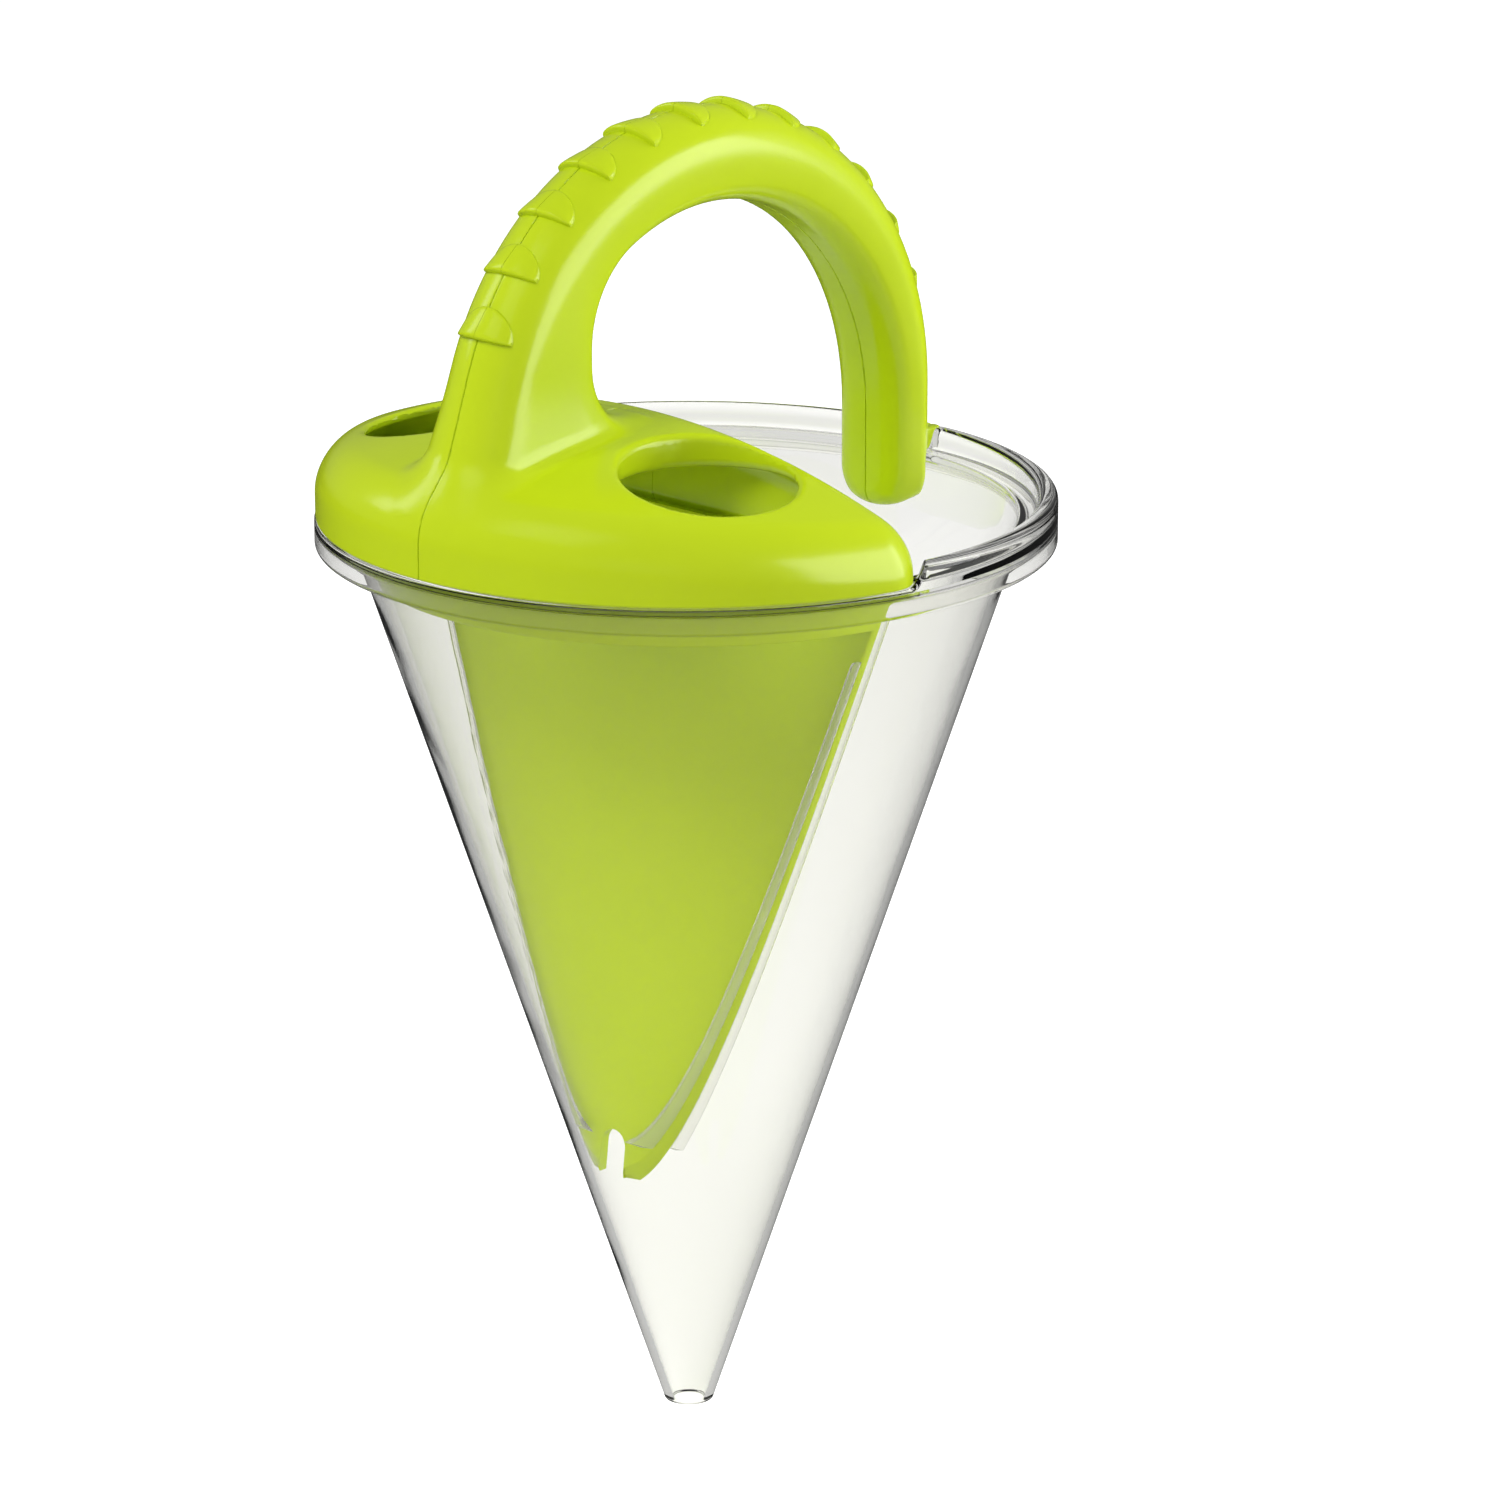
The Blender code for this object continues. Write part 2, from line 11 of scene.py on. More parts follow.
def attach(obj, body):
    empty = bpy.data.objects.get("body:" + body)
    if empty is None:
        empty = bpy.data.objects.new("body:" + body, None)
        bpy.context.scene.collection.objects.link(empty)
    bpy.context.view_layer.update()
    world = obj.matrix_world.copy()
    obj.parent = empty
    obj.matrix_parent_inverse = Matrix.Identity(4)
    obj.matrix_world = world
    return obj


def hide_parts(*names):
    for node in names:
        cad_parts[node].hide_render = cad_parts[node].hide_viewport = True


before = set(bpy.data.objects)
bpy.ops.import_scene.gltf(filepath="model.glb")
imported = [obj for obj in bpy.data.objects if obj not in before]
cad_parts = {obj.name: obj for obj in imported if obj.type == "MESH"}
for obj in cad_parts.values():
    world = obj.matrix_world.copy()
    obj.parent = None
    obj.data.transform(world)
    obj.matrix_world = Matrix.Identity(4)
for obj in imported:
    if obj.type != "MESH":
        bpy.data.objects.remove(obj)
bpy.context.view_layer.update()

# Sizes of the funnel in metres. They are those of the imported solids, but for a finer slot, ribs, pads
# and roundings.
CONE_HEIGHT = 0.231
OUTLET_RADIUS = 0.0062
MOUTH_RADIUS = 0.0828
CONE_WALL = 0.0022
CONE_SLOPE = (MOUTH_RADIUS - OUTLET_RADIUS) / CONE_HEIGHT
CONE_WALL_ACROSS = CONE_WALL * math.hypot(1, CONE_SLOPE)
RIM_RADIUS = 0.0925
RIM_WALL = 0.0024
LEDGE = 0.238
LID_SEAT = 0.2375
LIP_TOP = 0.2435
LIP_WIDTH = 0.005
LIP_END_GAP = 0.0011
LIP_ROUNDING = 0.0022
LIP_END_RUN = 0.0016
NOTCH_HALF_WIDTH = 0.0037
NOTCH_RUN = 0.0006
MIX_START = LEDGE - 0.004
SKIRT_TOP = CONE_HEIGHT + 0.003

# Lid and its two filling holes.
LID_BASE = 0.2378
LID_RADIUS = 0.0922
LID_WALL = 0.0025
LID_CORNER = 0.012
LID_SHOULDER = 0.010
CHORD_X = -0.0095
DOME_APEX = 0.2675
DOME_X = -0.022
DOME_RADIUS = 0.235
FLOOR_WALL = 0.0022
LID_EDGE = 0.0008
SMALL_ROUNDING = 0.001
HOLE_X = -0.038
HOLE_Y = 0.04395
HOLE_RADIUS = 0.0215
HOLE_EDGE = 0.002
HOLE_COLLAR_WALL = 0.0025
HOLE_COLLAR_DEPTH = 0.005
HOLE_COLLAR_FILLET = 0.0012

# Arched handle, in the plane y = 0.
HANDLE_WIDTH = 0.0256
OUTER_ROUNDING = 0.0092
INNER_ROUNDING = 0.005
HANDLE_SWELL = 0.0024
SWELL_DEPTH = 0.0115
FOOT_FLARE = 0.0022
FLARE_TOP = 0.285
FLARE_RUN = 0.035
WEB_FILLET = 0.0042
FOOT_FILLET_EXTRA = 0.0025
LEG_THICKNESS = 0.0164
ARCH_X = 0.0015
ARCH_Z = 0.2585
ARCH_RADIUS = 0.08093
ARCH_INNER_Z = 0.2519
ARCH_INNER_RADIUS = ARCH_RADIUS - LEG_THICKNESS
FOOT_SLANT = math.radians(19.5)
FOOT_X = -0.0909
FOOT_LOW = LID_BASE + FLOOR_WALL
WEB_X = -0.0410
WEB_ARCH_RADIUS = 0.025
WEB_FOOT_RADIUS = 0.016
WEB_FOOT_SINK = 0.001
LEG_INNER_X = 0.06603
LEG_OUTER_X = LEG_INNER_X + LEG_THICKNESS
TONGUE_X = 0.07653
TONGUE_EDGE = 0.0065
TONGUE_FILLET = 0.006
SHOULDER = 0.243
FREE_END = 0.223
HOOK_WIDTH = 0.0064
HOOK_REACH = 0.092
HOOK_ROOT = 0.005
SEAM_GAP = 0.0001
SEAM_EDGE = 0.0001
SEAM_EDGE_EXTRA = 0.0002
FIT_GAP = 0.0003
PAD_COUNT = 12
PAD_FIRST_ANGLE = math.radians(154)
PAD_PITCH = math.radians(12.1)
PAD_HALF_WIDTH = 0.0088
PAD_LENGTH = 0.0085
PAD_HEIGHT = 0.0017
PAD_ROOT = 0.001

# Leaning partition and the ribs that guide it.
PANEL_THICKNESS = 0.0022
PANEL_LEAN = math.radians(4.2)
PANEL_TOP_X = -0.0134
PANEL_EDGE_GAP = 0.0005
PANEL_ROUNDING = 0.0005
COLLAR_RADIUS = 0.0818
COLLAR_WALL = 0.002
COLLAR_TOP = 0.2430
COLLAR_LOW = 0.225
SLOT_WIDTH = 0.008
SLOT_HEIGHT = 0.0125
RIB_DEPTH = 0.0018
RIB_WIDTH = 0.0013
RIB_GAP = 0.0004
RIB_END_RISE = 0.011
FRONT_RIB_TOP = 0.217
BACK_RIB_TOP = 0.228


def outer_radius(z):
    """Outside of the cone: a straight line from the outlet to the mouth."""
    return OUTLET_RADIUS + CONE_SLOPE * z


def inner_radius(z):
    """Inside of the cone: the outside less the wall, measured level."""
    return outer_radius(z) - CONE_WALL_ACROSS


def panel_x(z):
    """Middle of the leaning partition at a height."""
    return PANEL_TOP_X - np.tan(PANEL_LEAN) * (COLLAR_TOP - z)


def eased(value):
    """0 below 0, 1 above 1, and a smooth S between them."""
    value = np.clip(value, 0, 1)
    return value * value * (3 - 2 * value)


def round_max(a, b, radius):
    """Distance to the overlap of two shapes, with the edge between them rounded to a radius."""
    corner = np.hypot(np.maximum(a + radius, 0), np.maximum(b + radius, 0))
    return np.minimum(np.maximum(a, b), -radius) + corner


def round_min(a, b, radius):
    """Distance to two joined shapes, with the inner corner between them filled to a radius."""
    corner = np.hypot(np.maximum(radius - a, 0), np.maximum(radius - b, 0))
    return np.maximum(np.minimum(a, b), radius) - corner


def arc(centre, radius, start, end, count):
    """Points along an arc in a plane, both ends included."""
    angles = np.linspace(start, end, count)
    return np.column_stack((centre[0] + radius * np.cos(angles), centre[1] + radius * np.sin(angles)))


def rounded_path(corners, steps=7, hold=0.0004):
    """Path through corners (across, up, radius): each corner is an arc that touches both straights beside
    it, with one more point a little way along each straight, so that the straights shade straight."""
    corners = np.array(corners, float)
    spots = corners[:, :2]
    ahead = np.diff(spots, axis=0)
    ahead /= np.linalg.norm(ahead, axis=1)[:, None]
    path = [spots[:1]]
    for spot, radius, come, go in zip(spots[1:-1], corners[1:-1, 2], ahead[:-1], ahead[1:]):
        turn = math.acos(np.clip(come @ go, -1, 1))
        reach = radius * math.tan(turn / 2)
        share = np.linspace(0, 1, steps)[:, None]
        bulge = np.sin((1 - share) * turn) / math.sin(turn), np.sin(share * turn) / math.sin(turn)
        side = np.array((-come[1], come[0])) * np.sign(come[0] * go[1] - come[1] * go[0])
        exit_side = np.array((-go[1], go[0])) * np.sign(come[0] * go[1] - come[1] * go[0])
        centre = spot - come * reach + side * radius
        curve = centre - radius * (bulge[0] * side + bulge[1] * exit_side)
        path += [(curve[0] - come * hold)[None], curve, (curve[-1] + go * hold)[None]]
    return np.vstack(path + [spots[-1:]])


def resampled(path, count):
    """The same path with a given count of points, evenly spaced along it."""
    steps = np.concatenate(([0], np.cumsum(np.linalg.norm(np.diff(path, axis=0), axis=1))))
    places = np.linspace(0, steps[-1], count)
    return np.column_stack([np.interp(places, steps, path[:, axis]) for axis in range(2)])


def grid_faces(rows, columns, rows_close=False, columns_close=False):
    """Four-cornered faces of a grid of points numbered row by row, facing the row step crossed with the
    column step."""
    row = np.arange(rows if rows_close else rows - 1)[:, None]
    column = np.arange(columns if columns_close else columns - 1)[None, :]
    next_row = (row + 1) % rows
    next_column = (column + 1) % columns
    corners = (row * columns + column, next_row * columns + column,
               next_row * columns + next_column, row * columns + next_column)
    return np.stack(np.broadcast_arrays(*corners), axis=-1).reshape(-1, 4)


def piece(name, parts, material, body):
    """Mesh object from (points, faces) parts, shaded smooth, riding on a body and taking a slot's
    finish."""
    points, faces, start = [], [], 0
    for part_points, part_faces in parts:
        points.append(part_points)
        faces += [tuple(int(corner) + start for corner in face) for face in part_faces]
        start += len(part_points)
    mesh = bpy.data.meshes.new(name)
    mesh.from_pydata(np.vstack(points).tolist(), [], faces)
    shape = bmesh.new()
    shape.from_mesh(mesh)
    bmesh.ops.remove_doubles(shape, verts=shape.verts, dist=1e-6)
    shape.to_mesh(mesh)
    shape.free()
    mesh.shade_smooth()
    mesh.set_sharp_from_angle(angle=math.radians(40))
    mesh.materials.append(material)
    made = bpy.data.objects.new(name, mesh)
    bpy.context.scene.collection.objects.link(made)
    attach(made, body)
    return made


def lofted(rings):
    """Closed skin over rows of rings that run clockwise seen from the last row, with a flat cap at each
    end."""
    rows, columns = rings.shape[:2]
    faces = list(grid_faces(rows, columns, columns_close=True))
    faces.append(range(columns))
    faces.append(range(rows * columns - 1, (rows - 1) * columns - 1, -1))
    return rings.reshape(-1, 3), faces


def lid_outline_distance(x, y, grow=0.0):
    """Distance from above to the lid's D shape: a circle cut by a straight side, with round corners."""
    return round_max(np.hypot(x, y) - LID_RADIUS - grow, x - CHORD_X - grow, LID_CORNER + grow)


def turned_cone():
    """Cone, rim and lip: a closed section turned about Z. The section's top is a lip where the mouth is
    open and a flat seat under the lid; the two are mixed by the distance of each point from the lid's
    outline and the notch."""
    wall_foot = (inner_radius(MIX_START), MIX_START)
    skirt_top = (RIM_RADIUS, SKIRT_TOP)
    lip = rounded_path([(*wall_foot, 0), (inner_radius(LEDGE), LEDGE, 0.0008),
                        (RIM_RADIUS - LIP_WIDTH, LEDGE, 0.001),
                        (RIM_RADIUS - LIP_WIDTH, LIP_TOP, LIP_ROUNDING),
                        (RIM_RADIUS, LIP_TOP, LIP_ROUNDING), (*skirt_top, 0)])
    seat = rounded_path([(*wall_foot, 0), (inner_radius(LID_SEAT), LID_SEAT, 0.0005),
                         (RIM_RADIUS, LID_SEAT, 0.0006), (*skirt_top, 0)])
    lip, seat = resampled(lip, 84), resampled(seat, 84)
    plate = LEDGE - RIM_WALL
    rest = rounded_path([(*skirt_top, 0), (RIM_RADIUS, CONE_HEIGHT, 0.0007),
                         (RIM_RADIUS - RIM_WALL, CONE_HEIGHT, 0.0007), (RIM_RADIUS - RIM_WALL, plate, 0.001),
                         (outer_radius(plate), plate, 0.0015), (outer_radius(0), 0, 0.0006),
                         (inner_radius(0), 0, 0.0005), (*wall_foot, 0)])[1:-1]
    turns = np.concatenate((np.linspace(-180, 180, 360, endpoint=False), np.linspace(-3.5, 3.5, 71),
                            np.linspace(94, 109, 100), np.linspace(-109, -94, 100)))
    turns = np.radians(np.unique(np.round(turns, 3)))
    x = lip[:, :1] * np.cos(turns)
    y = lip[:, :1] * np.sin(turns)
    open_part = eased(lid_outline_distance(x, y, LIP_END_GAP) / LIP_END_RUN)
    notch = (x > 0) * eased((NOTCH_HALF_WIDTH + NOTCH_RUN / 2 - np.abs(y)) / NOTCH_RUN)
    share = (open_part * (1 - notch))[..., None]
    top = seat[:, None] + share * (lip - seat)[:, None]
    section = np.concatenate((top, np.broadcast_to(rest[:, None], (len(rest), len(turns), 2))))
    points = np.stack((section[..., 0] * np.cos(turns), section[..., 0] * np.sin(turns), section[..., 1]),
                      axis=-1)
    return points.reshape(-1, 3), grid_faces(len(section), len(turns), True, True)


def guide_rib(side, near, far, top):
    """One rib: a rounded oblong carried up the inside of the cone beside the partition. At each height the
    oblong spans from near to far off the partition's middle and from the wall inwards."""
    heights = np.concatenate((np.linspace(panel_low() + RIB_END_RISE, top - 0.001, 60),
                              [top - 0.0003, top]))[:, None]
    draw = np.concatenate((np.zeros(60), [0.0003, 0.0008]))[:, None]
    low, high = sorted((near, far))
    loop = rounded_path([(low, 0.0015, 0), (low, RIB_DEPTH, 0.0003), (high, RIB_DEPTH, 0.0003),
                         (high, 0.00005, 0.0001), (low, 0.00005, 0.0001), (low, 0.0015, 0)], 5)[:-1]
    across = loop[None, :, 0] + 0 * heights
    depth = loop[None, :, 1] - draw * (loop[None, :, 1] > 0.001)
    radius = inner_radius(heights) - depth
    x = panel_x(heights) + across / math.cos(PANEL_LEAN)
    y = side * np.sqrt(radius ** 2 - x ** 2)
    rings = np.stack((x, y, heights + 0 * x), axis=-1)
    return lofted(rings if side < 0 else rings[:, ::-1])


def panel_low():
    """Height at which the leaning partition runs out into the cone's wall."""
    slope = math.tan(PANEL_LEAN)
    return (slope * COLLAR_TOP - PANEL_TOP_X - inner_radius(0) + PANEL_EDGE_GAP) / (CONE_SLOPE + slope)


def outline_distance(outline, u, v):
    """Distance in a plane to a closed outline: to the nearest point of its nearest side, and negative
    inside, where a level line from the point crosses the outline an odd number of times."""
    start, side = outline, np.roll(outline, -1, axis=0) - outline
    from_u = u[..., None] - start[:, 0]
    from_v = v[..., None] - start[:, 1]
    along = np.clip((from_u * side[:, 0] + from_v * side[:, 1]) / (side ** 2).sum(axis=1), 0, 1)
    near = np.hypot(from_u - along * side[:, 0], from_v - along * side[:, 1]).min(axis=-1)
    spans = (from_v < 0) != (from_v < side[:, 1])
    slope = side[:, 0] / np.where(side[:, 1] == 0, 1, side[:, 1])
    crossed = (spans & (from_u < slope * from_v)).sum(axis=-1)
    return np.where(crossed % 2 == 1, -near, near)


def handle_outline():
    """Side view of the handle: up the slanted front, over the arch, down the free leg, and back along the
    inner arch and the web to the lid."""
    arch = arc((ARCH_X, ARCH_Z), ARCH_RADIUS, math.pi - FOOT_SLANT, 0, 64)
    end_z = FREE_END + TONGUE_EDGE
    outer_end = arc((LEG_OUTER_X - TONGUE_EDGE, end_z), TONGUE_EDGE, 0, -math.pi / 2, 8)
    inner_end = arc((LEG_INNER_X + TONGUE_EDGE, end_z), TONGUE_EDGE, -math.pi / 2, -math.pi, 8)
    bend_x = WEB_X + WEB_ARCH_RADIUS
    bend_rise = math.sqrt((ARCH_INNER_RADIUS - WEB_ARCH_RADIUS) ** 2 - (bend_x - ARCH_X) ** 2)
    bend_angle = math.atan2(bend_rise, bend_x - ARCH_X)
    inner_arch = arc((ARCH_X, ARCH_INNER_Z), ARCH_INNER_RADIUS, 0, bend_angle, 40)
    bend = arc((bend_x, ARCH_INNER_Z + bend_rise), WEB_ARCH_RADIUS, bend_angle, math.pi, 16)
    web_foot_x = WEB_X + WEB_FOOT_RADIUS
    web_foot_z = DOME_APEX - (web_foot_x - DOME_X) ** 2 / (2 * DOME_RADIUS)
    web_foot_z += WEB_FOOT_RADIUS - WEB_FOOT_SINK
    web_foot = arc((web_foot_x, web_foot_z), WEB_FOOT_RADIUS, math.pi, 1.5 * math.pi, 14)
    return np.vstack(((FOOT_X, FOOT_LOW), arch, outer_end, inner_end, inner_arch, bend[1:], web_foot,
                      (web_foot_x, FOOT_LOW)))


HANDLE_OUTLINE = handle_outline()


def inward_way(x, z):
    """Distance in from the handle's outer side: from the slanted front below the arch at the lid, from the
    straight side of the free leg, and from the arch between them."""
    from_x, from_z = x - ARCH_X, z - ARCH_Z
    slanted = from_z * math.sin(FOOT_SLANT) - from_x * math.cos(FOOT_SLANT)
    front = (from_x < 0) & (from_x * math.sin(FOOT_SLANT) + from_z * math.cos(FOOT_SLANT) < 0)
    leg = (from_x > 0) & (from_z < 0)
    return ARCH_RADIUS - np.where(front, slanted, np.where(leg, from_x, np.hypot(from_x, from_z)))


def handle_section(depth, inward, across):
    """Distance to the handle's section from the distance to its side view's outline, the way in from its
    outer side and the distance off the seam: slightly swollen sides, with wide rounding outside and less
    inside."""
    way = np.clip(1 + depth / SWELL_DEPTH, 0, 1)
    side = across - HANDLE_WIDTH / 2 + HANDLE_SWELL * way ** 2
    rounding = OUTER_ROUNDING - (OUTER_ROUNDING - INNER_ROUNDING) * eased((inward - 0.007) / 0.008)
    return round_max(depth, side / np.hypot(1, 2 * HANDLE_SWELL * way / SWELL_DEPTH), rounding)


def lid_and_handle(x, y, z):
    """Signed distance to the right half of the lid and handle. The lid is the D shape cut by the dome with
    a round shoulder; the handle is its side view given a rounded section; a fillet joins them, wide in
    front of the foot and narrow along the web. The lid's hollow, its mouth, the filling holes and the far
    side of the seam are cut away, and the seam's edge is rounder on the foot, where the seam shows as a
    line."""
    ring = np.hypot(x, y)
    side = lid_outline_distance(x, y)
    off_apex = np.hypot(x - DOME_X, y)
    dome = (z - DOME_APEX + off_apex ** 2 / (2 * DOME_RADIUS)) / np.hypot(1, off_apex / DOME_RADIUS)
    cap = round_max(side, dome, LID_SHOULDER)
    lid = round_max(cap, LID_BASE - z, LID_EDGE)
    end_centre = FREE_END + HANDLE_WIDTH / 2
    flare = FOOT_FLARE * eased((FLARE_TOP - z) / FLARE_RUN) * (x < 0)
    across = np.hypot(y, np.minimum(z - end_centre, 0)) - flare
    handle = handle_section(outline_distance(HANDLE_OUTLINE, x, z), inward_way(x, z), across)
    notch = round_max(TONGUE_X - x, z - SHOULDER, TONGUE_FILLET)
    handle = round_max(handle, -notch, SMALL_ROUNDING)
    hook = round_max(np.abs(y) - HOOK_WIDTH / 2, x - HOOK_REACH, SMALL_ROUNDING)
    hook_tall = np.abs(z - (LIP_TOP + LID_BASE) / 2) - (LIP_TOP - LID_BASE) / 2
    hook = round_max(hook, np.maximum(TONGUE_X - HOOK_ROOT - x, hook_tall), SMALL_ROUNDING)
    handle = round_min(handle, hook, SMALL_ROUNDING)
    fillet = WEB_FILLET + FOOT_FILLET_EXTRA * eased((-0.068 - x) / 0.014)
    fillet = fillet * eased((z - LID_BASE - 0.003) / 0.014)
    solid = round_min(lid, handle, fillet)
    hollow = round_max(side + LID_WALL, dome + LID_WALL, LID_SHOULDER - LID_WALL)
    hollow = round_max(hollow, LID_BASE + FLOOR_WALL - z, SMALL_ROUNDING)
    mouth = round_max(ring - COLLAR_RADIUS - FIT_GAP, x - CHORD_X + LID_WALL, SMALL_ROUNDING)
    mouth = np.maximum(mouth, z - COLLAR_TOP - FIT_GAP)
    from_hole = np.hypot(x - HOLE_X, y + HOLE_Y)
    collar_low = DOME_APEX - ((HOLE_X - DOME_X) ** 2 + HOLE_Y ** 2) / (2 * DOME_RADIUS) - HOLE_COLLAR_DEPTH
    collar = np.maximum(from_hole - HOLE_RADIUS - HOLE_COLLAR_WALL, collar_low - z)
    collar = np.maximum(collar, cap + LID_WALL / 2)
    solid = np.maximum(solid, -round_min(hollow, mouth, SMALL_ROUNDING))
    solid = round_min(solid, collar, HOLE_COLLAR_FILLET)
    solid = round_max(solid, HOLE_RADIUS - from_hole, HOLE_EDGE)
    below_pads = eased((-0.03 - x) / 0.02) * eased((0.3 - z) / 0.02)
    seam_edge = SEAM_EDGE + SEAM_EDGE_EXTRA * below_pads
    return round_max(solid, y + SEAM_GAP / 2, seam_edge)


def surface_net(field, axes):
    """Four-sided mesh of the zero surface of a sampled distance: one point in each cell that the surface
    crosses, at the middle of the crossings on the cell's edges, and one face round each crossed edge."""
    inside = field < 0
    corners = np.stack(np.meshgrid((0, 1), (0, 1), (0, 1), indexing="ij"), axis=-1).reshape(-1, 3)
    cells_shape = np.array(field.shape) - 1
    count = np.zeros(cells_shape, np.int8)
    for corner in corners:
        count += inside[tuple(slice(a, a + n) for a, n in zip(corner, cells_shape))]
    crossed = (count > 0) & (count < 8)
    cells = np.argwhere(crossed)
    number = np.full(crossed.shape, -1)
    number[crossed] = np.arange(len(cells))
    total, hits = np.zeros((len(cells), 3)), np.zeros((len(cells), 1))
    for axis in range(3):
        for corner in corners[corners[:, axis] == 0]:
            low = cells + corner
            high = low + np.eye(3, dtype=int)[axis]
            low_value, high_value = field[tuple(low.T)], field[tuple(high.T)]
            hit = (low_value < 0) != (high_value < 0)
            share = np.where(hit, low_value / np.where(hit, low_value - high_value, 1), 0)
            spots = np.column_stack([line[index] for line, index in zip(axes, low.T)])
            spots[:, axis] += share * (axes[axis][high[:, axis]] - axes[axis][low[:, axis]])
            total += spots * hit[:, None]
            hits += hit[:, None]
    faces = []
    for axis in range(3):
        second, third = (axis + 1) % 3, (axis + 2) % 3
        low_side = np.take(inside, range(field.shape[axis] - 1), axis)
        high_side = np.take(inside, range(1, field.shape[axis]), axis)
        edges = np.argwhere(low_side != high_side)
        leaves = low_side[tuple(edges.T)]
        around = []
        for step_second, step_third in ((-1, -1), (0, -1), (0, 0), (-1, 0)):
            cell = edges.copy()
            cell[:, second] += step_second
            cell[:, third] += step_third
            around.append(number[tuple(cell.T)])
        quads = np.column_stack(around)
        faces.append(np.where(leaves[:, None], quads, quads[:, ::-1]))
    return total / hits, np.vstack(faces)


def drawn_onto(field, points, passes=2, step=2e-5):
    """Points moved onto the zero surface of a distance, along its slope."""
    for _ in range(passes):
        chunks = []
        for chunk in np.array_split(points, 12):
            value = field(*chunk.T)
            slope = np.column_stack([field(*(chunk + step * axis).T) - value for axis in np.eye(3)]) / step
            chunks.append(chunk - (value / np.maximum((slope ** 2).sum(axis=1), 0.25))[:, None] * slope)
        points = np.vstack(chunks)
    return points


def right_half():
    """Right half of the lid and handle, with finer steps at the seam and at the lid's lower edge."""
    coarse = 0.00095
    x = np.arange(-0.0945, 0.0945, coarse)
    y = np.concatenate((np.arange(-0.0945, -0.0022, coarse), np.arange(-0.0022, 0.0006, 0.0002)))
    z = np.concatenate((np.arange(FREE_END - 0.002, LID_BASE - 0.0007, coarse),
                        np.arange(LID_BASE - 0.0006, LID_BASE + 0.0016, 0.0002),
                        np.arange(LID_BASE + 0.002, ARCH_Z + ARCH_RADIUS + 0.002, coarse)))
    field = lid_and_handle(x[:, None, None], y[None, :, None], z[None, None, :])
    points, faces = surface_net(field, (x, y, z))
    return drawn_onto(lid_and_handle, points), faces


def half_pads():
    """Right halves of the grip pads: a shingle section, steep at the foot's side and low at the other,
    carried across from the seam to the pad's edge while it shortens as a half ellipse, and wrapped round
    the arch."""
    share = np.array((1.0, 0.985, 0.95, 0.88, 0.7, 0.45, 0.25, 0.14, 0.07, 0.025, 0.0, 0.0))
    rise = np.array((0.0, 0.22, 0.36, 0.45, 0.6, 0.8, 0.94, 1.0, 0.97, 0.82, 0.5, 0.0))
    root = np.zeros(len(share))
    root[[0, -1]] = PAD_ROOT
    number = np.arange(PAD_COUNT)[:, None, None]
    spread = PAD_HALF_WIDTH * np.sin(np.linspace(0.06, math.pi / 2, 16))
    y = -np.concatenate(([SEAM_GAP / 2], spread))[:, None]
    swell = np.sqrt(np.maximum(1 - (y / PAD_HALF_WIDTH) ** 2, 0.12 ** 2))
    skin = np.full(y.shape, ARCH_RADIUS)
    for _ in range(12):
        skin -= handle_section(skin - ARCH_RADIUS, ARCH_RADIUS - skin, np.abs(y))
    reach = skin + PAD_HEIGHT * swell ** 0.25 * rise - root
    angle = PAD_FIRST_ANGLE - number * PAD_PITCH - (PAD_LENGTH * share - 0.0007) * swell / ARCH_RADIUS
    x = ARCH_X + reach * np.cos(angle)
    z = ARCH_Z + reach * np.sin(angle)
    rings = np.stack(np.broadcast_arrays(x, y, z), axis=-1)
    return [lofted(pad) for pad in rings]


def other_side(part):
    """The same part on the other side of the plane y = 0, still facing outwards."""
    points, faces = part
    return points * (1, -1, 1), [tuple(face)[::-1] for face in faces]


